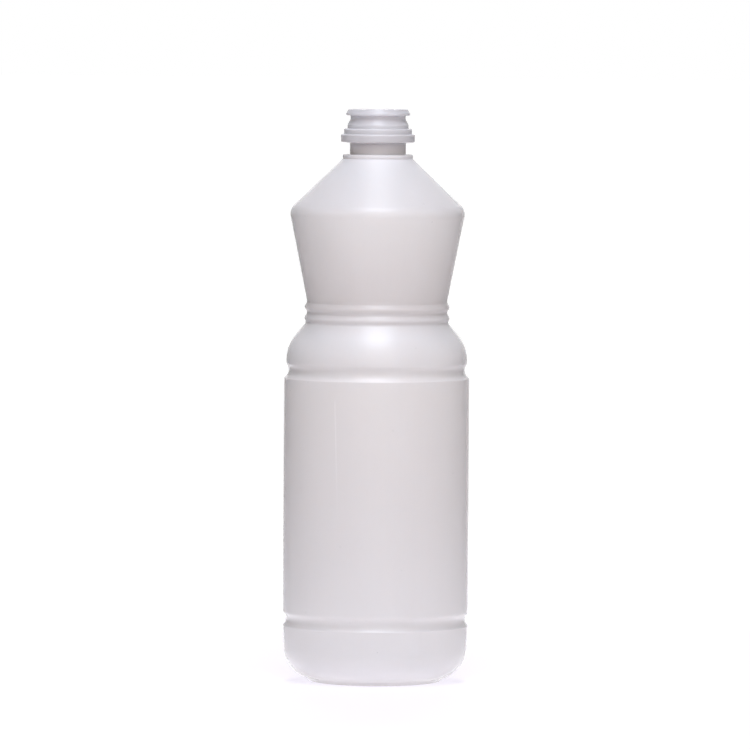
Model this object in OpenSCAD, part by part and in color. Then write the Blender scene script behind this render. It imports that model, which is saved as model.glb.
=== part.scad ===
// Round one-litre plastic bottle for bleach or detergent, without its cap.
// It is blown in one piece: a thin even wall with a stepped foot, a heel, a label panel between
// two rounded grooves, a bulge, two ring beads, a tapered waist, a cone shoulder and a solid
// push-on neck finish round a straight bore. A straight weld closes the base, where the mould
// pinched the blown tube shut.
// Millimetres. The bottle stands on the plane z = 0, on the Z axis, with its mouth up.
// The two halves of the mould meet on the plane y = 0.

/* [Base] */
// Outer diameter of the flat ring that the bottle stands on
foot_diameter = 58.4; // [54:0.2:60]
// Height of the foot below the heel
foot_height = 1.6; // [1:0.1:2.2]
// Slope of the foot's side from the horizontal, in degrees
foot_slope = 40; // [35:1:60]
// Width of the flat standing ring
standing_width = 4.4; // [3:0.1:6]
// Radius on the edges of the standing ring
foot_edge_radius = 0.5; // [0.2:0.1:0.8]
// Height of the hollow under the base
push_up = 4.2; // [3:0.1:6]
// Width of the slope between the standing ring and the roof of the hollow
push_up_run = 5.5; // [4:0.5:8]
// Radius where the slope turns into the roof of the hollow
push_up_radius = 6; // [3:0.5:8]
// Length of the weld across the roof of the hollow
weld_length = 33; // [20:1:36]
// Width of the weld
weld_width = 1.6; // [1:0.1:3]
// Slope of the underside between the foot and the heel, from the horizontal, in degrees
heel_slope = 24; // [22:1:30]
// Radius of the heel
heel_radius = 15; // [8:0.5:16]
// Diameter where the band and the underside would meet in a sharp edge
heel_diameter = 82.6; // [80:0.2:84]
// Diameter of the plain band at its top
band_diameter = 83.8; // [82:0.1:85]
// Height of the top of the band above the floor
band_top = 25.2; // [24:0.1:30]
// Radius at the top edge of the band
band_edge_radius = 0.5; // [0.2:0.1:0.8]

/* [Lower groove] */
// Distance from the top of the band to the bottom of the label panel
lower_groove_height = 6.1; // [6:0.1:7]
// Slope of the groove's upper side from the wall, in degrees
lower_groove_upper_slope = 36; // [34:1:40]
// Slope of the groove's lower side from the wall, in degrees
lower_groove_lower_slope = 39; // [36:1:42]
// Radius at the bottom of the groove
lower_groove_radius = 3.8; // [1:0.1:4]

/* [Label panel] */
// Diameter of the label panel at its bottom
panel_diameter = 84.2; // [83.4:0.1:86]
// Diameter of the label panel at its top
panel_top_diameter = 83.7; // [83:0.1:85]
// Height of the label panel
panel_height = 106.1; // [70:0.5:140]
// Radius at the bottom edge of the panel
panel_bottom_radius = 2.4; // [0.5:0.1:2.6]
// Radius at the top edge of the panel
panel_top_radius = 0.5; // [0.2:0.1:0.8]

/* [Upper groove] */
// Distance from the top of the label panel to the bottom of the bulge
upper_groove_height = 6.7; // [6.5:0.1:7.6]
// Slope of the groove's upper side from the wall, in degrees
upper_groove_upper_slope = 28; // [26:1:32]
// Slope of the groove's lower side from the wall, in degrees
upper_groove_lower_slope = 45; // [42:1:48]
// Radius at the bottom of the groove
upper_groove_radius = 3.8; // [1:0.1:3.9]

/* [Bulge] */
// Diameter of the bulge
bulge_diameter = 81.8; // [80:0.1:83]
// Height from the bulge's lower edge to the ring beads
bulge_height = 18.4; // [17.6:0.1:22]
// Slope of the bulge's upper side from the vertical, in degrees
bulge_slope = 39; // [38:1:44]
// Radius between the slope and the bulge's side
bulge_radius = 17; // [8:0.5:17]
// Radius at the bulge's lower edge
bulge_edge_radius = 2.8; // [0.5:0.1:3]
// Height of the valley between the bulge and the ring beads over the waist
bulge_root_rise = 0.25; // [0:0.05:0.4]
// Radius in the valley between the bulge and the ring beads
bulge_root_radius = 1.4; // [0.6:0.1:1.5]

/* [Ring beads] */
// Diameter of the waist at the ring beads
waist_diameter = 63.7; // [60:0.2:66]
// Width of a ring bead
bead_width = 4; // [3.6:0.1:4.4]
// Height of a ring bead's sides, before its crest is rounded
bead_height = 1.1; // [0.6:0.1:1.2]
// Radius of a ring bead's crest
bead_radius = 1.6; // [0.6:0.1:1.7]
// Distance between the two ring beads
bead_pitch = 5; // [4.8:0.05:7]
// Radius at the foot of a ring bead
bead_root_radius = 0.5; // [0.2:0.1:0.6]

/* [Waist and shoulder] */
// Height of the straight land between the ring beads and the taper
waist_land = 1.4; // [1:0.1:3]
// Height of the tapered waist
waist_height = 40.6; // [30:0.5:55]
// Radius where the land turns into the taper
waist_radius = 4; // [1:0.5:6]
// Diameter where the waist and the cone would meet in a sharp edge
shoulder_diameter = 79.8; // [76:0.2:82]
// Radius of the shoulder edge
shoulder_radius = 5.6; // [2:0.1:8]
// Height of the cone
cone_height = 23.2; // [20:0.1:27]

/* [Neck] */
// Diameter of the collar at the top of the cone
collar_diameter = 31.7; // [31:0.1:33]
// Height of the collar
collar_height = 1.8; // [1.6:0.1:2.4]
// Depth of the crease between the cone and the collar
collar_crease = 0.2; // [0.1:0.05:0.4]
// Diameter of the neck tube
neck_diameter = 25.3; // [24.6:0.1:26]
// Height of the neck tube between the collar and the flange
neck_height = 5.05; // [4:0.05:8]
// Diameter of the straight bore through the neck
bore_diameter = 21.8; // [20:0.1:22.4]
// Radius where the bore opens into the cone
bore_radius = 4; // [1:0.5:5]

/* [Neck finish] */
// Diameter of the flange that the cap comes down to
flange_diameter = 33.4; // [32.4:0.1:35]
// Thickness of the flange at its edge
flange_thickness = 3.5; // [2.4:0.1:4]
// Rise of the flange's underside from the neck to its edge
flange_rise = 0.6; // [0.2:0.1:1.2]
// Diameter of the ring that centres the cap
ring_diameter = 30.7; // [30.2:0.1:31.4]
// Height of the ring
ring_height = 2.5; // [2:0.1:3.2]
// Diameter of the lower bead
lower_bead_diameter = 27.6; // [26.6:0.1:28.4]
// Height of the straight part of the lower bead
lower_bead_height = 1.7; // [1.2:0.1:2.6]
// Height of the sloping part of the lower bead
lower_bead_ramp = 2.6; // [1.8:0.1:3]
// Diameter of the tube under the snap bead
groove_diameter = 24.9; // [24.4:0.1:25.4]
// Height of the tube under the snap bead
groove_height = 1.7; // [1.2:0.1:2.2]
// Diameter of the snap bead
snap_bead_diameter = 28.9; // [28.2:0.1:29.4]
// Height of the straight edge of the snap bead
snap_bead_land = 0.9; // [0.7:0.1:1.4]
// Height of the slope from the snap bead to the rim
snap_bead_ramp = 2; // [1.4:0.1:2.6]
// Diameter of the rim
rim_diameter = 26.6; // [26:0.1:27.6]
// Radius on the edges of the neck finish
finish_radius = 0.5; // [0.2:0.05:0.6]

/* [Wall] */
// Thickness of the blown wall
wall = 0.9; // [0.6:0.05:1.1]
// Smallest radius on the inside of the wall
inner_radius = 0.4; // [0.2:0.05:0.6]

/* [Build] */
// Sub-part to draw

/* [Hidden] */
$fn = 128;
// Angle of one step along a rounded corner
arc_step = 5;
// Rounding inside the corners of the neck finish
finish_root = finish_radius / 2;

// Radii, each half of its diameter
foot_r = foot_diameter / 2;
standing_r = foot_r - standing_width;
roof_r = standing_r - push_up_run;
band_r = band_diameter / 2;
panel_r = panel_diameter / 2;
panel_top_r = panel_top_diameter / 2;
bulge_r = bulge_diameter / 2;
waist_r = waist_diameter / 2;
shoulder_r = shoulder_diameter / 2;
collar_r = collar_diameter / 2;
neck_r = neck_diameter / 2;
bore_r = bore_diameter / 2;
flange_r = flange_diameter / 2;
ring_r = ring_diameter / 2;
lower_bead_r = lower_bead_diameter / 2;
groove_r = groove_diameter / 2;
snap_bead_r = snap_bead_diameter / 2;
rim_r = rim_diameter / 2;

// Heel, from the foot's upper edge to the corner under the band
heel_r = heel_diameter / 2;
heel_foot_r = foot_r + foot_height / tan(foot_slope);
heel_z = foot_height + (heel_r - heel_foot_r) * tan(heel_slope);

// Heights above the floor, from the lower groove to the rim
panel_z = band_top + lower_groove_height;
panel_top_z = panel_z + panel_height;
bulge_z = panel_top_z + upper_groove_height;
beads_z = bulge_z + bulge_height;
bulge_root_r = waist_r + bulge_root_rise;
bulge_corner_z = beads_z - (bulge_r - bulge_root_r) / tan(bulge_slope);
second_bead_z = beads_z + bead_pitch;
beads_top_z = second_bead_z + bead_width;
waist_z = beads_top_z + waist_land;
shoulder_z = waist_z + waist_height;
cone_z = shoulder_z + cone_height;
collar_z = cone_z + collar_height;
flange_z = collar_z + neck_height;
flange_edge_z = flange_z + flange_rise;
flange_top_z = flange_edge_z + flange_thickness;
ring_z = flange_top_z + ring_height;
lower_bead_z = ring_z + lower_bead_height;
groove_z = lower_bead_z + lower_bead_ramp;
snap_bead_z = groove_z + groove_height;
snap_bead_top_z = snap_bead_z + snap_bead_land;
rim_z = snap_bead_top_z + snap_bead_ramp;

// Point where the two sides of a groove would meet, between its lower and its upper edge
function groove_bottom(lower, upper, lower_slope, upper_slope) =
    let (a = tan(lower_slope))
    let (b = tan(upper_slope))
    let (z = (lower.x - upper.x + lower.y * a + upper.y * b) / (a + b))
    [lower.x - (z - lower.y) * a, z];

lower_groove = groove_bottom(
    [band_r, band_top],
    [panel_r, panel_z],
    lower_groove_lower_slope,
    lower_groove_upper_slope);
upper_groove = groove_bottom(
    [panel_top_r, panel_top_z],
    [bulge_r, bulge_z],
    upper_groove_lower_slope,
    upper_groove_upper_slope);

// Corners of the blown wall, from the middle of the base to the top of the cone
// Each has its radius from the axis, its height and its rounding
blown = [
    [0, push_up, 0],
    [roof_r, push_up, push_up_radius],
    [standing_r, 0, foot_edge_radius],
    [foot_r, 0, foot_edge_radius],
    [heel_foot_r, foot_height, foot_edge_radius],
    [heel_r, heel_z, heel_radius],
    [band_r, band_top, band_edge_radius],
    [lower_groove.x, lower_groove.y, lower_groove_radius],
    [panel_r, panel_z, panel_bottom_radius],
    [panel_top_r, panel_top_z, panel_top_radius],
    [upper_groove.x, upper_groove.y, upper_groove_radius],
    [bulge_r, bulge_z, bulge_edge_radius],
    [bulge_r, bulge_corner_z, bulge_radius],
    [bulge_root_r, beads_z, bulge_root_radius],
    [waist_r + bead_height, beads_z + bead_width / 2, bead_radius],
    [waist_r, beads_z + bead_width, bead_root_radius],
    [waist_r, second_bead_z, bead_root_radius],
    [waist_r + bead_height, second_bead_z + bead_width / 2, bead_radius],
    [waist_r, beads_top_z, bead_root_radius],
    [waist_r, waist_z, waist_radius],
    [shoulder_r, shoulder_z, shoulder_radius],
    [collar_r - collar_crease, cone_z, 0],
];

// Corners of the solid neck above the cone, from the collar to the edge of the bore
finish = [
    [collar_r, cone_z + collar_crease / 2, finish_root],
    [collar_r, collar_z, finish_radius],
    [neck_r, collar_z, finish_root],
    [neck_r, flange_z, finish_root],
    [flange_r, flange_edge_z, finish_radius],
    [flange_r, flange_top_z, finish_radius],
    [ring_r, flange_top_z, finish_root],
    [ring_r, ring_z, finish_radius],
    [lower_bead_r, ring_z, finish_root],
    [lower_bead_r, lower_bead_z, finish_radius],
    [groove_r, groove_z, finish_radius],
    [groove_r, snap_bead_z, finish_radius],
    [snap_bead_r, snap_bead_z, finish_root],
    [snap_bead_r, snap_bead_top_z, finish_radius],
    [rim_r, rim_z, finish_root],
    [bore_r, rim_z, finish_radius],
];

// Direction from one point to another
function direction(from, to) = (to - from) / norm(to - from);

// Place of a corner, without its rounding
function place(corner) = [corner.x, corner.y];

// Left side of the way from one corner to the next, where the inside of the bottle is
function left(from, to) =
    let (d = direction(place(from), place(to)))
    [-d.y, d.x];

// Points of the arc that rounds the corner b between a and c
function arc(a, b, c, radius) =
    let (u = direction(b, a))
    let (v = direction(b, c))
    let (half = acos(u * v) / 2)
    let (turn = 180 - 2 * half)
    let (centre = b + direction([0, 0], u + v) * radius / sin(half))
    let (start = b + u * radius / tan(half) - centre)
    let (end = b + v * radius / tan(half) - centre)
    let (steps = max(ceil(turn / arc_step), 2))
    [for (i = [0:steps])
        centre + (start * sin(turn * (1 - i / steps)) + end * sin(turn * i / steps)) / sin(turn)];

// Outline through the corners, with each one between the two ends rounded
function rounded(corners) =
    let (last = len(corners) - 1)
    [for (i = [0:last])
        each i == 0 || i == last || corners[i].z == 0
            ? [place(corners[i])]
            : arc(place(corners[i - 1]), place(corners[i]), place(corners[i + 1]), corners[i].z)];

// Corners moved to the left by a distance, with the roundings that keep the wall even
function moved_in(corners, distance) =
    let (last = len(corners) - 1)
    [for (i = [0:last])
        let (before = left(corners[max(i - 1, 0)], corners[max(i, 1)]))
        let (after = left(corners[min(i, last - 1)], corners[min(i + 1, last)]))
        let (p = place(corners[i]) + distance * (before + after) / (1 + before * after))
        let (outward = before.x * after.y > before.y * after.x)
        [p.x, p.y, outward ? max(corners[i].z - distance, inner_radius) : corners[i].z + distance]];

// Corners of the inside, from the middle of the base up to the edge of the bore
inner = moved_in(blown, wall);
cone_foot = inner[len(inner) - 2];
cone_top = inner[len(inner) - 1];
cone_lean = (cone_foot.x - cone_top.x) / (cone_top.y - cone_foot.y);
bore_z = cone_foot.y + (cone_foot.x - bore_r) / cone_lean;
rim_edge_z = rim_z - finish_radius;
cavity = concat(
    [for (i = [0:len(inner) - 2]) inner[i]],
    [[bore_r, bore_z, bore_radius], [bore_r, rim_edge_z, 0]]);

bottle();

// Bottle, blown in one piece with its neck and its base weld
module bottle() {
    color([0.92, 0.91, 0.93])
    union() {
        shell();
        weld();
    }
}

// Section of the wall and the neck, turned round the axis
module shell() {
    outside = rounded(concat(blown, finish, [[bore_r, rim_edge_z, 0]]));
    inside = rounded(cavity);
    rotate_extrude()
    polygon(concat(outside, [for (i = [len(inside) - 2:-1:0]) inside[i]]));
}

// Half-round weld on the roof of the hollow under the base
module weld() {
    translate([-weld_length / 2, 0, push_up])
    rotate([0, 90, 0])
    cylinder(h = weld_length, d = weld_width);
}
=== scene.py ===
import logging
import math
from dataclasses import dataclass
from enum import Enum
from typing import Iterable, Sequence

import bpy
from mathutils import Matrix, Vector

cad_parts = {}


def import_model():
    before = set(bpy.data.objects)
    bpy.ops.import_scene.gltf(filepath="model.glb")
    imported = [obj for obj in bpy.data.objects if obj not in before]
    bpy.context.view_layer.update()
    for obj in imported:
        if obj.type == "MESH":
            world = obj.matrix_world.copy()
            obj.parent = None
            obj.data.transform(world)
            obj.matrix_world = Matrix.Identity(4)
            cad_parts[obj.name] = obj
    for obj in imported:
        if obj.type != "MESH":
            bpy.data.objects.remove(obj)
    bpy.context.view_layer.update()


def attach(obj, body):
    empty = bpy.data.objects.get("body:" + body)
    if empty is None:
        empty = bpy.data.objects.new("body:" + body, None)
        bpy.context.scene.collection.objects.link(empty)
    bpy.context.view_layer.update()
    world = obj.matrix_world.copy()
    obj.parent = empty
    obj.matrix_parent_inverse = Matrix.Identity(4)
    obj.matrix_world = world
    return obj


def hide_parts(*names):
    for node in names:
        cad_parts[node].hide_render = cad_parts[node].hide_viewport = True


LOG = logging.getLogger("bottle")

MM = 0.001
WHITE = (1.0, 1.0, 1.0)

Triple = tuple[float, float, float]
Socket = bpy.types.NodeSocket


class Side(Enum):
    """Sides of the blown wall."""

    OUTER = "outer"
    INNER = "inner"


@dataclass(frozen=True)
class Corner:
    """One corner of the bottle's section, in millimetres.

    Args:
        r: Distance from the axis.
        z: Height above the floor.
        rounding: Radius that rounds the corner.
    """

    r: float
    z: float
    rounding: float = 0.0

    @property
    def place(self) -> Vector:
        """Place of the corner in the section, without its rounding."""
        return Vector((self.r, self.z))


@dataclass(frozen=True)
class Outline:
    """A run of corners along one side of the wall, from the base up.

    Args:
        corners: The corners in order.
        arc_step: Largest turn between two points of a rounded corner, in degrees.
        row: Largest distance between two points of a straight stretch, in millimetres.
    """

    corners: Sequence[Corner]
    arc_step: float = 8.0
    row: float = 7.0

    def moved_in(self, wall: float, smallest: float) -> list[Corner]:
        """Moves every corner towards the inside of the bottle.

        Args:
            wall: Distance to move by.
            smallest: Smallest rounding that is left.

        Returns:
            The moved corners, with the roundings that keep the wall even.
        """
        places = [corner.place for corner in self.corners]
        normals = [
            Vector((-(b - a).y, (b - a).x)).normalized() for a, b in zip(places, places[1:])
        ]
        moved = []
        for i, corner in enumerate(self.corners):
            before = normals[max(i - 1, 0)]
            after = normals[min(i, len(normals) - 1)]
            place = corner.place + wall * (before + after) / (1 + before.dot(after))
            outward = before.x * after.y > before.y * after.x
            inside = max(corner.rounding - wall, smallest) if outward else corner.rounding + wall
            moved.append(Corner(place.x, place.y, inside))
        return moved

    def points(self) -> list[Vector]:
        """Draws the outline.

        Returns:
            The points of the straight stretches and the rounded corners, in order.
        """
        drawn: list[Vector] = []
        last = len(self.corners) - 1
        for i, corner in enumerate(self.corners):
            if i in (0, last) or corner.rounding == 0:
                arc = [corner.place]
            else:
                arc = self._arc(self.corners[i - 1], corner, self.corners[i + 1])
            if drawn:
                drawn += self._rows(drawn[-1], arc[0])
            drawn += arc
        return drawn

    def _rows(self, start: Vector, end: Vector) -> list[Vector]:
        """Points between the two ends of a straight stretch."""
        count = math.ceil((end - start).length / self.row)
        return [start.lerp(end, i / count) for i in range(1, count)]

    def _arc(self, before: Corner, corner: Corner, after: Corner) -> list[Vector]:
        """Rounds one corner.

        Args:
            before: The corner before it.
            corner: The corner to round.
            after: The corner after it.

        Returns:
            The points along the arc.
        """
        u = (before.place - corner.place).normalized()
        v = (after.place - corner.place).normalized()
        half = math.acos(max(-1.0, min(1.0, u.dot(v)))) / 2
        turn = math.pi - 2 * half
        centre = corner.place + (u + v).normalized() * corner.rounding / math.sin(half)
        start = corner.place + u * corner.rounding / math.tan(half) - centre
        end = corner.place + v * corner.rounding / math.tan(half) - centre
        steps = max(math.ceil(math.degrees(turn) / self.arc_step), 2)
        return [
            centre
            + (start * math.sin(turn * (1 - i / steps)) + end * math.sin(turn * i / steps))
            / math.sin(turn)
            for i in range(steps + 1)
        ]


@dataclass(frozen=True)
class Base:
    """Foot, hollow underside, heel and plain band, in millimetres and degrees."""

    foot_diameter: float = 58.4
    foot_height: float = 1.6
    foot_slope: float = 40.0
    standing_width: float = 4.4
    foot_edge_radius: float = 0.5
    push_up: float = 4.2
    push_up_run: float = 5.5
    push_up_radius: float = 6.0
    heel_slope: float = 24.0
    heel_radius: float = 15.0
    heel_diameter: float = 82.6
    band_diameter: float = 83.8
    band_top: float = 25.2
    band_edge_radius: float = 0.5

    def corners(self) -> list[Corner]:
        """Corners from the middle of the hollow to the top of the band."""
        foot_r = self.foot_diameter / 2
        standing_r = foot_r - self.standing_width
        step_r = foot_r + self.foot_height / math.tan(math.radians(self.foot_slope))
        heel_r = self.heel_diameter / 2
        heel_z = self.foot_height + (heel_r - step_r) * math.tan(math.radians(self.heel_slope))
        return [
            Corner(0, self.push_up),
            Corner(standing_r - self.push_up_run, self.push_up, self.push_up_radius),
            Corner(standing_r, 0, self.foot_edge_radius),
            Corner(foot_r, 0, self.foot_edge_radius),
            Corner(step_r, self.foot_height, self.foot_edge_radius),
            Corner(heel_r, heel_z, self.heel_radius),
            Corner(self.band_diameter / 2, self.band_top, self.band_edge_radius),
        ]


@dataclass(frozen=True)
class Groove:
    """A rounded groove between two edges of the wall, in millimetres and degrees."""

    height: float
    lower_slope: float
    upper_slope: float
    radius: float

    def corner(self, lower: Corner, upper_r: float) -> Corner:
        """Bottom of the groove.

        Args:
            lower: The edge below the groove.
            upper_r: Distance of the edge above it from the axis.

        Returns:
            The corner where the two sides would meet.
        """
        a = math.tan(math.radians(self.lower_slope))
        b = math.tan(math.radians(self.upper_slope))
        upper_z = lower.z + self.height
        z = (lower.r - upper_r + lower.z * a + upper_z * b) / (a + b)
        return Corner(lower.r - (z - lower.z) * a, z, self.radius)


@dataclass(frozen=True)
class Body:
    """Label panel, its two grooves, the bulge and the ring beads, in millimetres and degrees."""

    lower_groove: Groove = Groove(6.1, 39.0, 36.0, 3.8)
    upper_groove: Groove = Groove(6.7, 45.0, 28.0, 3.8)
    panel_diameter: float = 84.2
    panel_top_diameter: float = 83.7
    panel_height: float = 106.1
    panel_bottom_radius: float = 2.4
    panel_top_radius: float = 0.5
    bulge_diameter: float = 81.8
    bulge_height: float = 18.4
    bulge_slope: float = 39.0
    bulge_radius: float = 17.0
    bulge_edge_radius: float = 2.8
    bulge_root_rise: float = 0.25
    bulge_root_radius: float = 1.4
    waist_diameter: float = 63.7
    bead_width: float = 4.0
    bead_height: float = 1.1
    bead_radius: float = 1.6
    bead_pitch: float = 5.0
    bead_root_radius: float = 0.5

    def corners(self, band: Corner) -> list[Corner]:
        """Corners from the lower groove to the top of the ring beads.

        Args:
            band: The top edge of the band below.

        Returns:
            The corners in order.
        """
        panel_r = self.panel_diameter / 2
        panel_z = band.z + self.lower_groove.height
        panel_top = Corner(
            self.panel_top_diameter / 2, panel_z + self.panel_height, self.panel_top_radius
        )
        bulge_r = self.bulge_diameter / 2
        bulge_z = panel_top.z + self.upper_groove.height
        beads_z = bulge_z + self.bulge_height
        root_r = self.waist_diameter / 2 + self.bulge_root_rise
        slope_z = beads_z - (bulge_r - root_r) / math.tan(math.radians(self.bulge_slope))
        return [
            self.lower_groove.corner(band, panel_r),
            Corner(panel_r, panel_z, self.panel_bottom_radius),
            panel_top,
            self.upper_groove.corner(panel_top, bulge_r),
            Corner(bulge_r, bulge_z, self.bulge_edge_radius),
            Corner(bulge_r, slope_z, self.bulge_radius),
            Corner(root_r, beads_z, self.bulge_root_radius),
            *self._beads(beads_z),
        ]

    def _beads(self, start: float) -> list[Corner]:
        """Corners of the two ring beads above a height, without the first root."""
        waist_r = self.waist_diameter / 2
        crest_r = waist_r + self.bead_height
        second = start + self.bead_pitch
        return [
            Corner(crest_r, start + self.bead_width / 2, self.bead_radius),
            Corner(waist_r, start + self.bead_width, self.bead_root_radius),
            Corner(waist_r, second, self.bead_root_radius),
            Corner(crest_r, second + self.bead_width / 2, self.bead_radius),
            Corner(waist_r, second + self.bead_width, self.bead_root_radius),
        ]


@dataclass(frozen=True)
class Shoulder:
    """Tapered waist, shoulder edge and cone, in millimetres."""

    waist_land: float = 1.4
    waist_height: float = 40.6
    waist_radius: float = 4.0
    shoulder_diameter: float = 79.8
    shoulder_radius: float = 5.6
    cone_height: float = 23.2
    cone_top_diameter: float = 31.3

    def corners(self, bead: Corner) -> list[Corner]:
        """Corners from the top of the land to the top of the cone.

        Args:
            bead: The upper root of the top ring bead.

        Returns:
            The corners in order.
        """
        waist_z = bead.z + self.waist_land
        shoulder_z = waist_z + self.waist_height
        return [
            Corner(bead.r, waist_z, self.waist_radius),
            Corner(self.shoulder_diameter / 2, shoulder_z, self.shoulder_radius),
            Corner(self.cone_top_diameter / 2, shoulder_z + self.cone_height),
        ]


@dataclass(frozen=True)
class Neck:
    """Collar, neck tube and push-on finish, in millimetres."""

    collar_diameter: float = 31.7
    collar_height: float = 1.8
    collar_crease: float = 0.2
    neck_diameter: float = 25.3
    neck_height: float = 5.05
    bore_diameter: float = 21.8
    bore_radius: float = 4.0
    flange_diameter: float = 33.4
    flange_thickness: float = 3.5
    flange_rise: float = 0.6
    ring_diameter: float = 30.7
    ring_height: float = 2.5
    lower_bead_diameter: float = 27.6
    lower_bead_height: float = 1.7
    lower_bead_ramp: float = 2.6
    groove_diameter: float = 24.9
    groove_height: float = 1.7
    snap_bead_diameter: float = 28.9
    snap_bead_land: float = 0.9
    snap_bead_ramp: float = 2.0
    rim_diameter: float = 26.6
    edge_radius: float = 0.5

    @property
    def bore_r(self) -> float:
        """Radius of the bore."""
        return self.bore_diameter / 2

    def rise(self) -> float:
        """Height of the rim over the top of the cone."""
        return self.corners(0.0)[-2].z

    def corners(self, cone_z: float) -> list[Corner]:
        """Corners from the collar to the edge of the bore.

        Args:
            cone_z: Height of the top of the cone.

        Returns:
            The corners in order.
        """
        edge = self.edge_radius
        root = edge / 2
        collar_r = self.collar_diameter / 2
        neck_r = self.neck_diameter / 2
        flange_r = self.flange_diameter / 2
        ring_r = self.ring_diameter / 2
        bead_r = self.lower_bead_diameter / 2
        groove_r = self.groove_diameter / 2
        snap_r = self.snap_bead_diameter / 2
        collar_z = cone_z + self.collar_height
        flange_z = collar_z + self.neck_height
        flange_edge_z = flange_z + self.flange_rise
        flange_top_z = flange_edge_z + self.flange_thickness
        ring_z = flange_top_z + self.ring_height
        bead_z = ring_z + self.lower_bead_height
        groove_z = bead_z + self.lower_bead_ramp
        snap_z = groove_z + self.groove_height
        snap_top_z = snap_z + self.snap_bead_land
        rim_z = snap_top_z + self.snap_bead_ramp
        return [
            Corner(collar_r, cone_z + self.collar_crease / 2, root),
            Corner(collar_r, collar_z, edge),
            Corner(neck_r, collar_z, root),
            Corner(neck_r, flange_z, root),
            Corner(flange_r, flange_edge_z, edge),
            Corner(flange_r, flange_top_z, edge),
            Corner(ring_r, flange_top_z, root),
            Corner(ring_r, ring_z, edge),
            Corner(bead_r, ring_z, root),
            Corner(bead_r, bead_z, edge),
            Corner(groove_r, groove_z, edge),
            Corner(groove_r, snap_z, edge),
            Corner(snap_r, snap_z, root),
            Corner(snap_r, snap_top_z, edge),
            Corner(self.rim_diameter / 2, rim_z, root),
            Corner(self.bore_r, rim_z, edge),
            Corner(self.bore_r, rim_z - edge),
        ]


@dataclass(frozen=True)
class Wave:
    """One wave of the unevenness round the bottle.

    Args:
        share: Share of the whole unevenness.
        lobes: Crests round the axis.
        start: Place of the wave round the axis at the floor, in radians.
        climb: Waves along one length of the unevenness.
        sway: Distance that the wave sways to and fro with height, in radians.
        sway_climb: Sways along one length of the unevenness.
    """

    share: float
    lobes: int
    start: float = 0.0
    climb: float = 0.0
    sway: float = 0.0
    sway_climb: float = 0.0

    def rise(self, angle: float, along: float = 0.0) -> float:
        """Measures the wave at one place.

        Args:
            angle: Place round the axis, in radians.
            along: Place along the length of the unevenness, in radians.

        Returns:
            The height of the wave, at most its share.
        """
        swayed = self.start + self.sway * math.sin(along * self.sway_climb)
        return self.share * math.sin(self.lobes * angle + self.climb * along + swayed)


@dataclass(frozen=True)
class Wobble:
    """The small unevenness of a blown wall and a trimmed rim, in millimetres.

    Args:
        wall: Distance that the wall lies off its true circle.
        wall_length: Length of its unevenness along the height.
        wall_fade: Height over which it fades out at the band and at the neck.
        wall_waves: The waves that it is made of.
        rim: Drop of the rim's lowest point under its highest.
        rim_depth: Depth of the plastic that follows the rim.
        rim_waves: The waves that the rim's drop is made of.
    """

    wall: float = 0.035
    wall_length: float = 46.0
    wall_fade: float = 10.0
    wall_waves: tuple[Wave, ...] = (
        Wave(0.5, 2, 0.7, sway=0.6, sway_climb=0.37),
        Wave(0.3, 5, 1.9, climb=1.0),
        Wave(0.2, 9, climb=-1.7),
    )
    rim: float = 0.16
    rim_depth: float = 0.6
    rim_waves: tuple[Wave, ...] = (Wave(0.5, 2, 0.4), Wave(0.3, 5, 2.1), Wave(0.2, 13, 0.9))

    def wall_shift(self, angle: float, z: float) -> float:
        """Distance that the wall lies off its true circle.

        Args:
            angle: Place round the axis, in radians.
            z: Height above the floor.

        Returns:
            The distance, positive outwards.
        """
        along = 2 * math.pi * z / self.wall_length
        return self.wall * sum(wave.rise(angle, along) for wave in self.wall_waves)

    def rim_drop(self, angle: float) -> float:
        """Depth that the trimmed rim lies under its highest point.

        Args:
            angle: Place round the axis, in radians.

        Returns:
            The depth, zero at the highest point.
        """
        return self.rim * (1 + sum(wave.rise(angle) for wave in self.rim_waves)) / 2


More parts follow.
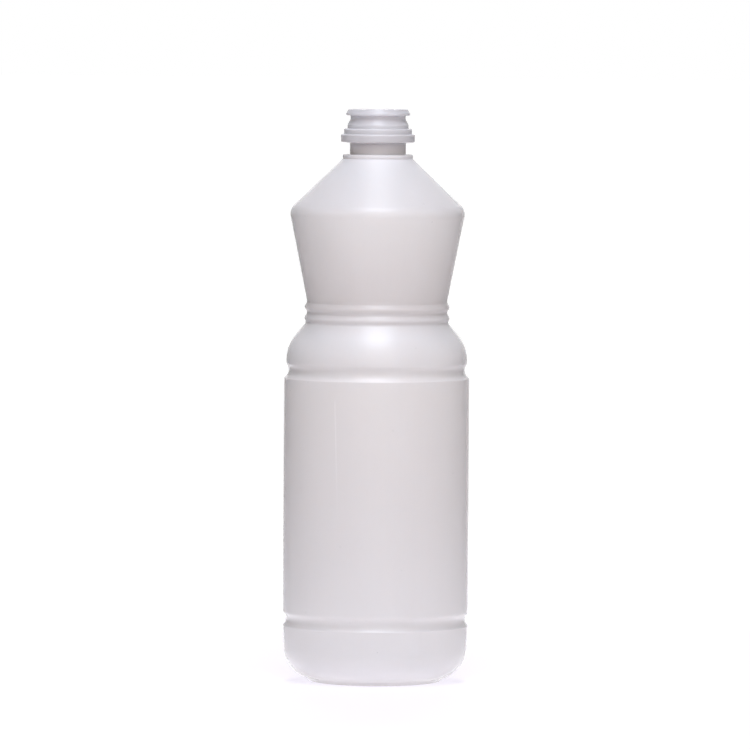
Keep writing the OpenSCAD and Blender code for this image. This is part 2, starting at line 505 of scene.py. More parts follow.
@dataclass(frozen=True)
class BlownBottle:
    """The bottle's wall from the hollow base to the rim, in millimetres and degrees.

    Args:
        base: Foot, hollow underside, heel and band.
        body: Label panel, grooves, bulge and ring beads.
        shoulder: Waist, shoulder edge and cone.
        neck: Collar, neck tube and push-on finish.
        wobble: The unevenness of the wall and the rim.
        wall: Thickness of the blown wall.
        inner_radius: Smallest rounding on the inside.
        inner_arc_step: Largest turn between two points of a rounding on the inside.
        inner_row: Largest distance between two points of a straight stretch there.
        seam: Height of the fine line where the mould's halves met.
        seam_width: Angle of that line as seen from the axis.
        seam_inner: Distance from the axis within which the line was trimmed away.
        columns: Faces round each half of the bottle.
        sharp: Angle between two faces from which their edge is sharp.
        merged: Distance within which two points are one.
        digits: Decimals by which points are told apart.
    """

    base: Base = Base()
    body: Body = Body()
    shoulder: Shoulder = Shoulder()
    neck: Neck = Neck()
    wobble: Wobble = Wobble()
    wall: float = 0.9
    inner_radius: float = 0.4
    inner_arc_step: float = 15.0
    inner_row: float = 12.0
    seam: float = 0.12
    seam_width: float = 0.8
    seam_inner: float = 14.6
    columns: int = 64
    sharp: float = 38.0
    merged: float = 0.004
    digits: int = 2

    def blown_corners(self) -> list[Corner]:
        """Corners of the thin wall, from the middle of the base to the top of the cone."""
        base = self.base.corners()
        body = self.body.corners(base[-1])
        return base + body + self.shoulder.corners(body[-1])

    @property
    def rim_z(self) -> float:
        """Height of the rim."""
        return self.blown_corners()[-1].z + self.neck.rise()

    def side(self, side: Side) -> list[Vector]:
        """Draws one side of the section.

        Args:
            side: The side to draw.

        Returns:
            Its points from the middle of the base to the bore's upper edge.
        """
        blown = self.blown_corners()
        if side is Side.OUTER:
            return Outline(blown + self.neck.corners(blown[-1].z)).points()
        inner = Outline(blown).moved_in(self.wall, self.inner_radius)
        foot, top = inner[-2], inner[-1]
        lean = (foot.r - top.r) / (top.z - foot.z)
        bore_z = foot.z + (foot.r - self.neck.bore_r) / lean
        mouth = [
            Corner(self.neck.bore_r, bore_z, self.neck.bore_radius),
            Corner(self.neck.bore_r, self.rim_z - self.neck.edge_radius),
        ]
        return Outline(inner[:-1] + mouth, self.inner_arc_step, self.inner_row).points()

    def build(self) -> bpy.types.Object:
        """Draws the section, spins it round the axis and adds the traces of its making.

        Returns:
            The finished mesh, one closed skin.
        """
        outer = self.side(Side.OUTER)
        inner = self.side(Side.INNER)
        section = outer + inner[-2::-1]
        skin = draw_line("bottle_wall", [Vector((p.x, 0, p.y)) * MM for p in section])
        self._spin()
        bpy.ops.object.mode_set(mode="OBJECT")
        self._raise_seam(skin, outer)
        self._unsettle(skin)
        bpy.ops.object.shade_smooth_by_angle(angle=math.radians(self.sharp))
        return skin

    def _spin(self) -> None:
        """Spins the drawn section, with narrow steps at the two mould seams."""
        half = math.radians(self.seam_width) / 2
        plain = math.pi - 2 * half
        bpy.ops.mesh.select_all(action="SELECT")
        for angle, steps in (
            (half, 1),
            (plain, self.columns),
            (2 * half, 2),
            (plain, self.columns),
            (half, 1),
        ):
            bpy.ops.mesh.spin(steps=steps, angle=angle, center=(0, 0, 0), axis=(0, 0, 1))
        bpy.ops.mesh.select_all(action="SELECT")
        bpy.ops.mesh.remove_doubles(threshold=self.merged * MM)
        bpy.ops.mesh.normals_make_consistent(inside=False)

    def _raise_seam(self, skin: bpy.types.Object, outer: Iterable[Vector]) -> None:
        """Lifts the points on the mould's parting plane off the outer side, above the foot.

        Args:
            skin: The spun wall.
            outer: The points of its outer side.
        """
        places = {
            (round(p.x, self.digits), round(p.y, self.digits))
            for p in outer
            if p.x > self.seam_inner and p.y > self.base.foot_height
        }
        for vertex in skin.data.vertices:
            x, y, z = (round(value, self.digits) for value in vertex.co / MM)
            if y == 0 and (abs(x), z) in places:
                vertex.co += vertex.normal * self.seam * MM

    def _unsettle(self, skin: bpy.types.Object) -> None:
        """Moves the wall and the rim off their true circles by very little.

        Args:
            skin: The spun wall.
        """
        band = self.base.band_top
        cone = self.blown_corners()[-1].z
        run = self.wobble.wall_fade
        trimmed = self.rim_z - self.wobble.rim_depth
        for vertex in skin.data.vertices:
            x, y, z = vertex.co / MM
            r = math.hypot(x, y)
            angle = math.atan2(y, x)
            if band < z < cone and r > 0:
                fade = min(1.0, (z - band) / run, (cone - z) / run)
                grown = 1 + fade * self.wobble.wall_shift(angle, z) / r
                vertex.co.x *= grown
                vertex.co.y *= grown
            elif z > trimmed:
                drop = self.wobble.rim_drop(angle) * (z - trimmed) / self.wobble.rim_depth
                vertex.co.z -= drop * MM


@dataclass(frozen=True)
class BaseWeld:
    """The straight weld under the base, where the mould pinched the tube shut, in millimetres.

    Args:
        length: Length of the weld.
        width: Width of the weld.
        height: Height of the hollow's roof, which it lies on.
        sides: Faces round the bar.
        rounding: Rounding of its ends.
        rounding_steps: Faces across that rounding.
        sharp: Angle between two faces from which their edge is sharp, in degrees.
    """

    length: float = 33.0
    width: float = 1.6
    height: float = 4.2
    sides: int = 24
    rounding: float = 0.4
    rounding_steps: int = 3
    sharp: float = 40.0

    def build(self) -> bpy.types.Object:
        """Lays a bar along the roof of the hollow and rounds its ends.

        Returns:
            The finished mesh.
        """
        deselect()
        bpy.ops.mesh.primitive_cylinder_add(
            vertices=self.sides,
            radius=self.width / 2 * MM,
            depth=self.length * MM,
            location=(0, 0, self.height * MM),
            rotation=(0, math.pi / 2, 0),
        )
        weld = named("base_weld")
        bpy.ops.object.transform_apply(location=True, rotation=True, scale=True)
        edges = weld.modifiers.new("rounded ends", "BEVEL")
        edges.width = self.rounding * MM
        edges.segments = self.rounding_steps
        bpy.ops.object.modifier_apply(modifier=edges.name)
        bpy.ops.object.shade_smooth_by_angle(angle=math.radians(self.sharp))
        return weld


def deselect() -> None:
    """Leaves edit mode and selects nothing."""
    if bpy.context.object and bpy.context.object.mode != "OBJECT":
        bpy.ops.object.mode_set(mode="OBJECT")
    bpy.ops.object.select_all(action="DESELECT")


def named(name: str) -> bpy.types.Object:
    """Names the object in hand and its mesh.

    Args:
        name: The name of both.

    Returns:
        The object.
    """
    piece = bpy.context.object
    piece.name = name
    piece.data.name = name
    return piece


def draw_line(name: str, points: Sequence[Vector]) -> bpy.types.Object:
    """Draws a line of edges by extruding one vertex from place to place.

    Args:
        name: Name of the new object.
        points: The places in order, in metres.

    Returns:
        The new object, in edit mode with its whole line selected.
    """
    deselect()
    bpy.ops.mesh.primitive_plane_add(size=MM, location=(0, 0, 0))
    line = named(name)
    bpy.ops.object.mode_set(mode="EDIT")
    bpy.ops.mesh.select_mode(type="VERT")
    bpy.ops.mesh.select_all(action="SELECT")
    bpy.ops.mesh.merge(type="CENTER")
    bpy.ops.transform.translate(value=points[0])
    for here, there in zip(points, points[1:]):
        bpy.ops.mesh.extrude_vertices_move(TRANSFORM_OT_translate={"value": there - here})
    bpy.ops.mesh.select_all(action="SELECT")
    return line


@dataclass
class Graph:
    """Lays out the nodes of one material or world.

    Args:
        tree: The node tree to fill.
    """

    tree: bpy.types.NodeTree

    def __post_init__(self) -> None:
        """Starts with an empty tree."""
        self.tree.nodes.clear()

    def node(self, kind: str, **settings: object) -> bpy.types.Node:
        """Adds a node.

        Args:
            kind: Type of the node.
            settings: Properties to set on it.

        Returns:
            The new node.
        """
        made = self.tree.nodes.new(kind)
        for key, value in settings.items():
            setattr(made, key, value)
        return made

    def put(self, value: object, socket: Socket) -> None:
        """Wires an output into a socket, or writes a plain value there.

        Args:
            value: The output or the plain value.
            socket: The input that takes it.
        """
        if isinstance(value, Socket):
            self.tree.links.new(value, socket)
        else:
            socket.default_value = value

    def math(self, operation: str, *values: object) -> Socket:
        """Adds a sum.

        Args:
            operation: Kind of sum.
            values: Its inputs in order, outputs of other nodes or plain numbers.

        Returns:
            Its result.
        """
        made = self.node("ShaderNodeMath", operation=operation)
        for value, socket in zip(values, made.inputs):
            self.put(value, socket)
        return made.outputs[0]

    def noise(self, place: Socket, scale: float = 1.0, detail: float = 2.0) -> Socket:
        """Adds a noise pattern.

        Args:
            place: Coordinates to read it at.
            scale: Features per millimetre.
            detail: Octaves of the pattern.

        Returns:
            Its value from 0 to 1.
        """
        made = self.node("ShaderNodeTexNoise")
        self.put(place, made.inputs["Vector"])
        self.put(scale, made.inputs["Scale"])
        self.put(detail, made.inputs["Detail"])
        return made.outputs["Fac"]

    def fade(self, value: Socket, none: float, full: float) -> Socket:
        """Adds a step with a soft edge.

        Args:
            value: What the step depends on.
            none: Where the result is 0.
            full: Where the result is 1.

        Returns:
            The result.
        """
        step = self.node("ShaderNodeMapRange", clamp=True)
        self.put(value, step.inputs["Value"])
        self.put(none, step.inputs["From Min"])
        self.put(full, step.inputs["From Max"])
        return step.outputs["Result"]

    def shade(self, amount: Socket, low: Socket | Triple, high: Triple) -> Socket:
        """Adds a blend of two colours.

        Args:
            amount: 0 for the first colour, 1 for the second.
            low: The first colour.
            high: The second colour.

        Returns:
            The blended colour.
        """
        made = self.node("ShaderNodeMix", data_type="RGBA")
        self.put(amount, made.inputs["Factor"])
        self.put(low if isinstance(low, Socket) else (*low, 1), made.inputs["A"])
        self.put((*high, 1), made.inputs["B"])
        return made.outputs["Result"]


@dataclass(frozen=True)
class ToneAndPaintedShade:
    """How light and how warm the plastic looks at one height, set from renders: partly the
    plastic's own tone and partly painted shade and painted light, such as the waist lighter
    under the shoulder and darker above the beads, the neck darker under the flange and the rim's
    top edge darker.

    Args:
        height: Height above the floor, in millimetres.
        amount: Share of the lightest shade.
        warmth: Share that red gains and blue loses.
    """

    height: float
    amount: float
    warmth: float = 0.0

    def colour(self) -> tuple[float, float, float, float]:
        """The colour that the plastic's own colour is multiplied by."""
        return self.amount * (1 + self.warmth), self.amount, self.amount * (1 - self.warmth), 1.0


@dataclass(frozen=True)
class Spots:
    """Rare round spots in the plastic.

    Args:
        count: Spots per millimetre along each axis.
        radius: Radius of a spot, in millimetres.
        core: Share of the radius within which a spot is full.
    """

    count: float
    radius: float
    core: float = 0.6

    def lay(self, graph: Graph, place: Socket) -> Socket:
        """Lays out the spots.

        Args:
            graph: The tree to fill.
            place: The place in millimetres.

        Returns:
            1 in a spot and 0 elsewhere.
        """
        cells = graph.node("ShaderNodeTexVoronoi")
        graph.put(place, cells.inputs["Vector"])
        graph.put(self.count, cells.inputs["Scale"])
        edge = self.count * self.radius
        return graph.fade(cells.outputs["Distance"], edge, edge * self.core)


@dataclass(frozen=True)
class DieLine:
    """The faint light line that the die drew on the blown tube, in millimetres and degrees.

    Args:
        top: Height where the line starts.
        start: Length over which it comes in.
        fade: Length after which it is gone.
        strong: Share of that length over which it is full.
        angle: Place of its top round the axis.
        lean: Turn round the axis for each millimetre down.
        radius: Radius of the wall that it is on.
        width: Distance from its middle to its edge.
        core: Share of that distance within which it is full.
    """

    top: float = 130.0
    start: float = 3.0
    fade: float = 56.0
    strong: float = 0.35
    angle: float = -104.5
    lean: float = 0.042
    radius: float = 42.0
    width: float = 0.45
    core: float = 0.2

    def lay(self, graph: Graph, angle: Socket, height: Socket) -> Socket:
        """Lays out the line.

        Args:
            graph: The tree to fill.
            angle: The angle round the axis, in radians.
            height: The height in millimetres.

        Returns:
            1 along the brightest part of the line and 0 away from it.
        """
        lean, top_angle = math.radians(self.lean), math.radians(self.angle)
        edge = self.width / self.radius
        under = graph.math("SUBTRACT", self.top, height)
        middle = graph.math("MULTIPLY_ADD", under, lean, top_angle)
        away = graph.math("ABSOLUTE", graph.math("SUBTRACT", angle, middle))
        near = graph.fade(away, edge, edge * self.core)
        started = graph.fade(under, 0.0, self.start)
        left = graph.fade(under, self.fade, self.fade * self.strong)
        return graph.math("MULTIPLY", near, graph.math("MULTIPLY", started, left))


@dataclass(frozen=True)
class Polyethylene:
    """Satin white polyethylene that lets a little light through.

    Args:
        colour: Colour of the wall where it is lightest.
        clouded: Colour in the faint clouds and streaks of the wall.
        cloud_scale: Clouds per millimetre.
        cloud_share: Share of the clouds in that pattern.
        streak_share: Share of the streaks in it.
        streak_turn: Streaks per radian round the axis.
        streak_rise: Streaks per millimetre of height.
        detail: Octaves of both.
        speck: Colour of the specks in the plastic.
        specks: The rare dark specks.
        dull: The wider spots under the skin.
        dull_share: Share of the specks' colour in them.
        drawn: Colour of the line that the die drew.
        line: The line that the die drew.
        tone_and_painted_shades: The plastic's tone by height, with painted shade and painted
            light, from the foot to the rim.
        roughness: Roughness of the moulded skin.
        roughness_spread: How much it differs from place to place.
        roughness_scale: Patches of it per millimetre.
        glancing: Roughness at a glancing angle.
        glancing_blend: Weight of the glancing angle.
        glancing_edge: Where that roughness starts and is full, from 0 face on to 1 edge on.
        grain: Depth of the skin's fine grain, in millimetres.
        grain_scale: Grains per millimetre.
        grain_detail: Octaves of the grain.
        streak_relief: Depth of the streaks, as a share of the grain's.
        speck_relief: Depth of a speck, as a share of the grain's.
        through: Share of the light that goes into the plastic.
        through_depth: Distance that it goes, in millimetres.
        through_colour: Share of that distance that red, green and blue go.
        refraction: Index of refraction.
    """

    colour: Triple = (0.91, 0.845, 0.85)
    clouded: Triple = (0.87, 0.808, 0.813)
    cloud_scale: float = 0.035
    cloud_share: float = 0.7
    streak_share: float = 0.3
    streak_turn: float = 24.0
    streak_rise: float = 0.012
    detail: float = 3.0
    speck: Triple = (0.60, 0.56, 0.56)
    specks: Spots = Spots(0.10, 0.27)
    dull: Spots = Spots(0.08, 0.75)
    dull_share: float = 0.12
    drawn: Triple = (0.955, 0.895, 0.905)
    line: DieLine = DieLine()
    # Partly the plastic's own tone and partly painted shade and painted light by height, such as
    # painted shade on the neck under the flange and at the rim's top edge.
    tone_and_painted_shades: tuple[ToneAndPaintedShade, ...] = (
        ToneAndPaintedShade(0, 0.82, -0.03),
        ToneAndPaintedShade(11, 0.845, -0.02),
        ToneAndPaintedShade(24, 0.88, -0.01),
        ToneAndPaintedShade(82, 0.876, 0.01),
        ToneAndPaintedShade(132, 0.93, 0.023),
        ToneAndPaintedShade(157, 0.94, -0.005),
        ToneAndPaintedShade(172, 0.805, 0.02),
        ToneAndPaintedShade(210, 0.985, 0.02),
        ToneAndPaintedShade(215, 0.885),
        ToneAndPaintedShade(237.5, 0.955, -0.016),
        ToneAndPaintedShade(239, 0.81),
        ToneAndPaintedShade(245, 0.74, -0.025),
        ToneAndPaintedShade(256, 0.84, -0.04),
        ToneAndPaintedShade(259, 0.70, -0.03),
    )
    roughness: float = 0.34
    roughness_spread: float = 0.08
    roughness_scale: float = 0.3
    glancing: float = 0.20
    glancing_blend: float = 0.5
    glancing_edge: tuple[float, float] = (0.72, 0.94)
    grain: float = 0.004
    grain_scale: float = 0.9
    grain_detail: float = 1.0
    streak_relief: float = 0.2
    speck_relief: float = 2.0
    through: float = 0.6
    through_depth: float = 2.0
    through_colour: Triple = (1.0, 0.92, 0.88)
    refraction: float = 1.53

    def make(self) -> bpy.types.Material:
        """Lays out the finish.

        Returns:
            The material.
        """
        material = bpy.data.materials.new("satin_polyethylene")
        material.use_nodes = True
        graph = Graph(material.node_tree)
        place, drawn_out, angle, height = self._places(graph)
        streaks = graph.noise(drawn_out, detail=self.detail)
        specks = self.specks.lay(graph, place)
        colour = self._clouds(graph, place, streaks)
        colour = graph.shade(self.line.lay(graph, angle, height), colour, self.drawn)
        dull = graph.math("MULTIPLY", self.dull.lay(graph, place), self.dull_share)
        colour = graph.shade(dull, colour, self.speck)
        colour = graph.shade(specks, colour, self.speck)
        # Painted shade and painted light by height, laid on the plastic's own colour.
        colour = self._apply_tone_and_painted_shade(graph, colour, height)
        skin = graph.node("ShaderNodeBsdfPrincipled")
        graph.put(colour, skin.inputs["Base Color"])
        graph.put(self._gloss(graph, place), skin.inputs["Roughness"])
        graph.put(self.refraction, skin.inputs["IOR"])
        graph.put(self.through, skin.inputs["Subsurface Weight"])
        graph.put(self.through_colour, skin.inputs["Subsurface Radius"])
        graph.put(self.through_depth * MM, skin.inputs["Subsurface Scale"])
        graph.put(self._relief(graph, place, streaks, specks), skin.inputs["Normal"])
        out = graph.node("ShaderNodeOutputMaterial")
        graph.put(skin.outputs["BSDF"], out.inputs["Surface"])
        return material

    def _places(self, graph: Graph) -> tuple[Socket, Socket, Socket, Socket]:
        """Lays out the coordinates.

        Args:
            graph: The tree to fill.

        Returns:
            The place in millimetres, the place round the axis drawn out along its height, the
            angle round the axis and the height.
        """
        source = graph.node("ShaderNodeTexCoord")
        scaled = graph.node("ShaderNodeVectorMath", operation="SCALE")
        graph.put(source.outputs["Object"], scaled.inputs["Vector"])
        graph.put(1 / MM, scaled.inputs["Scale"])
        split = graph.node("ShaderNodeSeparateXYZ")
        graph.put(scaled.outputs["Vector"], split.inputs["Vector"])
        angle = graph.math("ARCTAN2", split.outputs["Y"], split.outputs["X"])
        drawn = graph.node("ShaderNodeCombineXYZ")
        graph.put(graph.math("MULTIPLY", angle, self.streak_turn), drawn.inputs["X"])
        height = split.outputs["Z"]
        graph.put(graph.math("MULTIPLY", height, self.streak_rise), drawn.inputs["Z"])
        return scaled.outputs["Vector"], drawn.outputs["Vector"], angle, height

    def _clouds(self, graph: Graph, place: Socket, streaks: Socket) -> Socket:
        """Lays out the plastic's own colour, with its faint clouds and streaks.

        Args:
            graph: The tree to fill.
            place: The place in millimetres.
            streaks: The pattern of the streaks.

        Returns:
            The colour.
        """
        clouds = graph.noise(place, self.cloud_scale, self.detail)
        clouds = graph.math("MULTIPLY", clouds, self.cloud_share)
        streaked = graph.math("MULTIPLY", streaks, self.streak_share)
        return graph.shade(graph.math("ADD", clouds, streaked), self.colour, self.clouded)

    def _apply_tone_and_painted_shade(self, graph: Graph, colour: Socket, height: Socket) -> Socket:
        """Darkens a colour by the tone at each height, which holds painted shade and painted
        light.

        Args:
            graph: The tree to fill.
            colour: The colour where the wall is lightest.
            height: The height in millimetres.

        Returns:
            The shaded colour.
        """
        top = self.tone_and_painted_shades[-1].height
        ramp = graph.node("ShaderNodeValToRGB")
        graph.put(graph.math("DIVIDE", height, top), ramp.inputs["Fac"])
        stops = ramp.color_ramp.elements
        stops[0].color = self.tone_and_painted_shades[0].colour()
        stops[-1].color = self.tone_and_painted_shades[-1].colour()
        for shade in self.tone_and_painted_shades[1:-1]:
            stops.new(shade.height / top).color = shade.colour()
        mixed = graph.node("ShaderNodeMix", data_type="RGBA", blend_type="MULTIPLY")
        graph.put(1.0, mixed.inputs["Factor"])
        graph.put(colour, mixed.inputs["A"])
        graph.put(ramp.outputs["Color"], mixed.inputs["B"])
        return mixed.outputs["Result"]

    def _gloss(self, graph: Graph, place: Socket) -> Socket:
        """Lays out the gloss, which grows at a glancing angle.

        Args:
            graph: The tree to fill.
            place: The place in millimetres.

        Returns:
            The roughness.
        """
        patches = graph.noise(place, self.roughness_scale)
        least = self.roughness - self.roughness_spread / 2
        rough = graph.math("MULTIPLY_ADD", patches, self.roughness_spread, least)
        facing = graph.node("ShaderNodeLayerWeight")
        graph.put(self.glancing_blend, facing.inputs["Blend"])
        glancing = graph.fade(facing.outputs["Facing"], *self.glancing_edge)
        smooth = graph.math("SUBTRACT", self.glancing, rough)
        return graph.math("MULTIPLY_ADD", glancing, smooth, rough)

    def _relief(self, graph: Graph, place: Socket, streaks: Socket, specks: Socket) -> Socket:
        """Lays out the fine relief of the skin.

        Args:
            graph: The tree to fill.
            place: The place in millimetres.
            streaks: The pattern of the streaks.
            specks: 1 in a speck.

        Returns:
            The normal.
        """
        height = graph.noise(place, self.grain_scale, self.grain_detail)
        height = graph.math("ADD", height, graph.math("MULTIPLY", streaks, self.streak_relief))
        sunk = graph.math("MULTIPLY", specks, self.speck_relief)
        bump = graph.node("ShaderNodeBump")
        graph.put(1.0, bump.inputs["Strength"])
        graph.put(self.grain * MM, bump.inputs["Distance"])
        graph.put(graph.math("SUBTRACT", height, sunk), bump.inputs["Height"])
        return bump.outputs["Normal"]


@dataclass(frozen=True)
class SoftLamp:
    """One soft lamp of the studio, in metres.

    Args:
        name: Name of the lamp.
        place: Where it hangs.
        size: Width and depth of its face.
        power: Watts.
        colour: Colour of its light.
        aim_height: Height on the bottle's axis that it is turned to.
    """

    name: str
    place: Triple
    size: tuple[float, float]
    power: float
    colour: Triple
    aim_height: float = 0.19

    def build(self) -> bpy.types.Object:
        """Hangs the lamp.

        Returns:
            The lamp.
        """
        deselect()
        bpy.ops.object.light_add(type="AREA", location=self.place)
        lamp = bpy.context.object
        lamp.name = self.name
        ahead = Vector((0, 0, self.aim_height)) - Vector(self.place)
        lamp.rotation_euler = ahead.to_track_quat("-Z", "Y").to_euler()
        lamp.data.shape = "RECTANGLE"
        lamp.data.size, lamp.data.size_y = self.size
        lamp.data.energy = self.power
        lamp.data.color = self.colour
        return lamp


@dataclass(frozen=True)
class Studio:
    """White floor and backdrop, with soft boxes overhead, in front and behind.

    Args:
        facing: Side that the camera looks from, in degrees round the axis.
        centre: Height of the bottle's middle, which the lamps hang round, in metres.
        room: Colour of the light that the room gives from the sides.
        backdrop: Colour of the light that the backdrop gives.
        backdrop_edge: Where the backdrop starts and is full, as the cosine of the angle from
            straight behind. The unlit front has the same edge.
        unlit: Colour of the ceiling and of the room before the bottle.
        ceiling_edge: Where the ceiling starts and is full, as the sine of the angle upwards.
        mirrored: Where the white backdrop starts and is full in the plastic's gloss, as the
            cosine of the angle from straight behind.
        mirrored_from: Distance before the bottle that this angle is taken from on the floor,
            in metres.
        floor_size: Width of the floor, in metres.
        floor_colour: Paint of the floor, which lights the bottle.
        floor_seen: Paint of the floor as the camera sees it, under its own glow.
        bounce: Light that the lit floor gives back near the bottle.
        bounce_reach: Distance from the axis up to which it does, in metres.
        bounce_gone: Distance from the axis where that light has faded, in metres.
        shadow: Painted shadow colour of the floor's glow near the bottle, which shows where the
            bottle's real shadow falls.
        shadow_reach: Distance from the axis over which the painted shadow colour is full and the
            bottle's shadow shows, in metres.
        shadow_gone: Distance from the axis where the painted shadow colour has faded, in metres.
    """

    facing: float = 12.0
    centre: float = 0.15
    room: Triple = (0.37, 0.37, 0.35)
    backdrop: Triple = (0.41, 0.42, 0.42)
    backdrop_edge: tuple[float, float] = (0.55, 0.75)
    unlit: Triple = (0.0, 0.0, 0.0)
    ceiling_edge: tuple[float, float] = (0.45, 0.60)
    mirrored: tuple[float, float] = (0.93, 0.98)
    mirrored_from: float = 0.12
    floor_size: float = 40.0
    floor_colour: Triple = (0.86, 0.85, 0.88)
    floor_seen: Triple = (0.30, 0.30, 0.28)
    bounce: float = 0.39
    bounce_reach: float = 0.14
    bounce_gone: float = 0.21
    shadow: Triple = (0.765, 0.735, 0.83)
    shadow_reach: float = 0.32
    shadow_gone: float = 0.64

    def lamps(self) -> list[SoftLamp]:
        """The lamps, turned with the camera's side."""
        return [
            SoftLamp(
                name="overhead_box",
                place=self._hung(elevation=66.0, distance=1.1),
                size=(0.50, 0.80),
                power=9.6,
                colour=(0.86, 0.91, 1.0),
            ),
            SoftLamp(
                name="front_box",
                place=self._hung(elevation=22.0, distance=1.8, aside=5.0),
                size=(1.5, 1.1),
                power=12.6,
                colour=(1.0, 0.98, 0.95),
            ),
            SoftLamp(
                name="back_box",
                place=self._hung(elevation=135.0, distance=1.1),
                size=(0.36, 0.45),
                power=6.0,
                colour=(1.0, 0.97, 0.94),
            ),
        ]

    def _hung(self, elevation: float, distance: float, aside: float = 0.0) -> Triple:
        """Place of a lamp round the bottle.

        Args:
            elevation: Angle from the horizon on the camera's side, up and over, in degrees.
            distance: Distance from the middle of the bottle, in metres.
            aside: Angle to the right of the camera, in degrees.

        Returns:
            The place in metres.
        """
        rise = math.radians(elevation)
        place = Vector((0, -math.cos(rise), math.sin(rise))) * distance
        turn = Matrix.Rotation(math.radians(self.facing + aside), 3, "Z")
        return tuple(turn @ place + Vector((0, 0, self.centre)))

    def build(self) -> None:
        """Lays the floor, sets the surroundings and hangs the lamps."""
        self._floor()
        self._world()
        for lamp in self.lamps():
            lamp.build()
            LOG.info("lamp %s", lamp.name)

    def _floor(self) -> None:
        """Lays a wide white floor that keeps the bottle's shadow."""
        deselect()
        bpy.ops.mesh.primitive_plane_add(size=self.floor_size, location=(0, 0, 0))
        floor = named("floor")
        floor.data.materials.append(self._floor_finish())

    def _floor_finish(self) -> bpy.types.Material:
        """Lays out the floor's paint and its glow.

        Returns:
            The material.
        """
        material = bpy.data.materials.new("white_floor")
        material.use_nodes = True
        graph = Graph(material.node_tree)
        ray = graph.node("ShaderNodeLightPath")
        matt = graph.node("ShaderNodeBsdfDiffuse")
        paint = graph.shade(ray.outputs["Is Camera Ray"], self.floor_colour, self.floor_seen)
        graph.put(paint, matt.inputs["Color"])
        colour, strength = self._floor_glow(graph, ray)
        glow = graph.node("ShaderNodeEmission")
        graph.put(colour, glow.inputs["Color"])
        graph.put(strength, glow.inputs["Strength"])
        both = graph.node("ShaderNodeAddShader")
        graph.put(matt.outputs["BSDF"], both.inputs[0])
        graph.put(glow.outputs["Emission"], both.inputs[1])
        out = graph.node("ShaderNodeOutputMaterial")
        graph.put(both.outputs["Shader"], out.inputs["Surface"])
        return material

    def _floor_glow(self, graph: Graph, ray: bpy.types.Node) -> tuple[Socket, Socket]:
        """Lays out the white that the camera and the gloss see, the painted shadow colour near
        the bottle, and the light near the bottle.

        Args:
            graph: The tree to fill.
            ray: The kind of ray that sees the floor.

        Returns:
            The colour and the strength of the glow.
        """
        camera = ray.outputs["Is Camera Ray"]
        source = graph.node("ShaderNodeTexCoord")
        away = graph.node("ShaderNodeVectorMath", operation="LENGTH")
        graph.put(source.outputs["Object"], away.inputs[0])
        bounce = graph.fade(away.outputs["Value"], self.bounce_gone, self.bounce_reach)
        depth, _ = self._seen_from_front(graph, source.outputs["Object"], self.mirrored_from)
        backed = graph.fade(depth, *self.mirrored)
        mirrored = graph.math("MULTIPLY", ray.outputs["Is Glossy Ray"], backed)
        strength = graph.node("ShaderNodeMix")
        graph.put(graph.math("MAXIMUM", camera, mirrored), strength.inputs["Factor"])
        graph.put(graph.math("MULTIPLY", bounce, self.bounce), strength.inputs["A"])
        graph.put(1.0, strength.inputs["B"])
        # Painted shadow: near the bottle the camera sees the glow in the shadow colour instead
        # of white.
        near = graph.fade(away.outputs["Value"], self.shadow_gone, self.shadow_reach)
        colour = graph.shade(graph.math("MULTIPLY", near, camera), WHITE, self.shadow)
        return colour, strength.outputs["Result"]

    def _world(self) -> None:
        """Sets the light of the room and the backdrop, and white all round the picture."""
        world = bpy.data.worlds.new("white_room")
        bpy.context.scene.world = world
        world.use_nodes = True
        graph = Graph(world.node_tree)
        ray = graph.node("ShaderNodeLightPath")
        source = graph.node("ShaderNodeTexCoord")
        depth, height = self._seen_from_front(graph, source.outputs["Generated"])
        before = graph.fade(depth, *(-edge for edge in self.backdrop_edge))
        light = graph.shade(graph.fade(depth, *self.backdrop_edge), self.room, self.backdrop)
        light = graph.shade(before, light, self.unlit)
        light = graph.shade(graph.fade(height, *self.ceiling_edge), light, self.unlit)
        mirrored = graph.math(
            "MAXIMUM", ray.outputs["Is Glossy Ray"], ray.outputs["Is Transmission Ray"]
        )
        backed = graph.math("MULTIPLY", mirrored, graph.fade(depth, *self.mirrored))
        seen = graph.math("MAXIMUM", ray.outputs["Is Camera Ray"], backed)
        back = graph.node("ShaderNodeBackground")
        graph.put(graph.shade(seen, light, WHITE), back.inputs["Color"])
        graph.put(1.0, back.inputs["Strength"])
        out = graph.node("ShaderNodeOutputWorld")
        graph.put(back.outputs["Background"], out.inputs["Surface"])

    def _seen_from_front(
        self, graph: Graph, place: Socket, shift: float = 0.0
    ) -> tuple[Socket, Socket]:
        """Measures a place or direction as it lies from the camera's side of the bottle.

        Args:
            graph: The tree to fill.
            place: The place or direction.
            shift: Distance before the bottle that it is measured from, in metres.

        Returns:
            The cosine of its level angle from straight behind, and its height.
        """
        turned = graph.node("ShaderNodeMapping")
        graph.put(place, turned.inputs["Vector"])
        graph.put((0.0, 0.0, -math.radians(self.facing)), turned.inputs["Rotation"])
        graph.put((0.0, shift, 0.0), turned.inputs["Location"])
        split = graph.node("ShaderNodeSeparateXYZ")
        graph.put(turned.outputs["Vector"], split.inputs["Vector"])
        level = graph.node("ShaderNodeCombineXYZ")
        graph.put(split.outputs["X"], level.inputs["X"])
        graph.put(split.outputs["Y"], level.inputs["Y"])
        length = graph.node("ShaderNodeVectorMath", operation="LENGTH")
        graph.put(level.outputs["Vector"], length.inputs[0])
        depth = graph.math("DIVIDE", split.outputs["Y"], length.outputs["Value"])
        return depth, split.outputs["Z"]


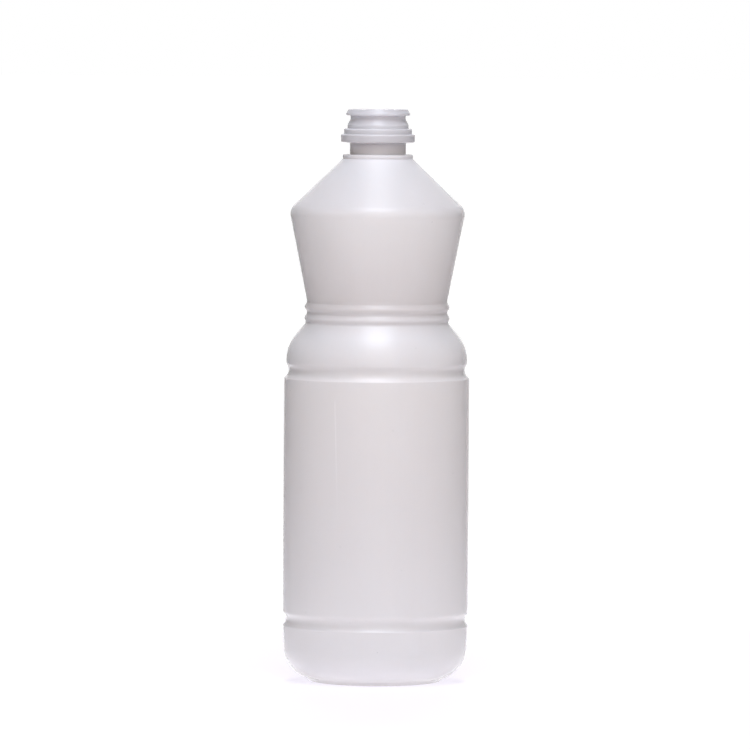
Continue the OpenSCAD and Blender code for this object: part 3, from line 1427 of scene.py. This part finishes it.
@dataclass(frozen=True)
class PhotoCamera:
    """A long lens at the photograph's angle.

    Args:
        azimuth: Side that it looks from, in degrees round the axis.
        elevation: Angle above the horizon, in degrees.
        distance: Distance from the point that it looks at, in metres.
        lens: Focal length, in millimetres.
        sensor: Width of the picture behind the lens, in millimetres.
        aim_height: Height of the point that it looks at, in millimetres.
        aim_right: Distance of that point to the right of the axis, in millimetres.
        roll: Turn of the picture, in degrees.
        reach: Furthest distance that it sees, in metres.
    """

    azimuth: float = 12.0
    elevation: float = 2.9
    distance: float = 3.6
    lens: float = 381.9
    sensor: float = 36.0
    aim_height: float = 138.7
    aim_right: float = -0.74
    roll: float = 0.33
    reach: float = 100.0

    def build(self) -> bpy.types.Object:
        """Sets the camera up.

        Returns:
            The camera.
        """
        deselect()
        turn = Matrix.Rotation(math.radians(self.azimuth), 3, "Z")
        rise = math.radians(self.elevation)
        back = turn @ Vector((0, -math.cos(rise), math.sin(rise)))
        right = turn @ Vector((1, 0, 0))
        target = Vector((0, 0, self.aim_height * MM)) + right * self.aim_right * MM
        bpy.ops.object.camera_add(location=target + back * self.distance)
        camera = bpy.context.object
        camera.name = "photo_camera"
        facing = back.to_track_quat("Z", "Y").to_matrix()
        rolled = facing @ Matrix.Rotation(math.radians(self.roll), 3, "Z")
        camera.rotation_euler = rolled.to_euler()
        camera.data.lens = self.lens
        camera.data.sensor_width = self.sensor
        camera.data.clip_end = self.reach
        bpy.context.scene.camera = camera
        return camera


def hand_over(piece: bpy.types.Object, material: bpy.types.Material) -> None:
    """Gives a piece its finish and ties it to the bottle's body.

    Args:
        piece: The finished mesh.
        material: Its finish.
    """
    piece.data.materials.clear()
    piece.data.materials.append(material)
    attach(piece, "root")
    LOG.info("%s: %d faces", piece.name, len(piece.data.polygons))


def main() -> None:
    """Builds the pieces in order, dresses them and sets the studio up."""
    logging.basicConfig(level=logging.INFO, format="%(name)s: %(message)s")
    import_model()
    plastic = Polyethylene().make()
    wall = BlownBottle().build()
    hand_over(wall, plastic)
    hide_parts("bottle")
    hand_over(BaseWeld().build(), plastic)
    Studio().build()
    PhotoCamera().build()
    bpy.context.scene.view_settings.view_transform = "Standard"


if __name__ == "__main__":
    main()
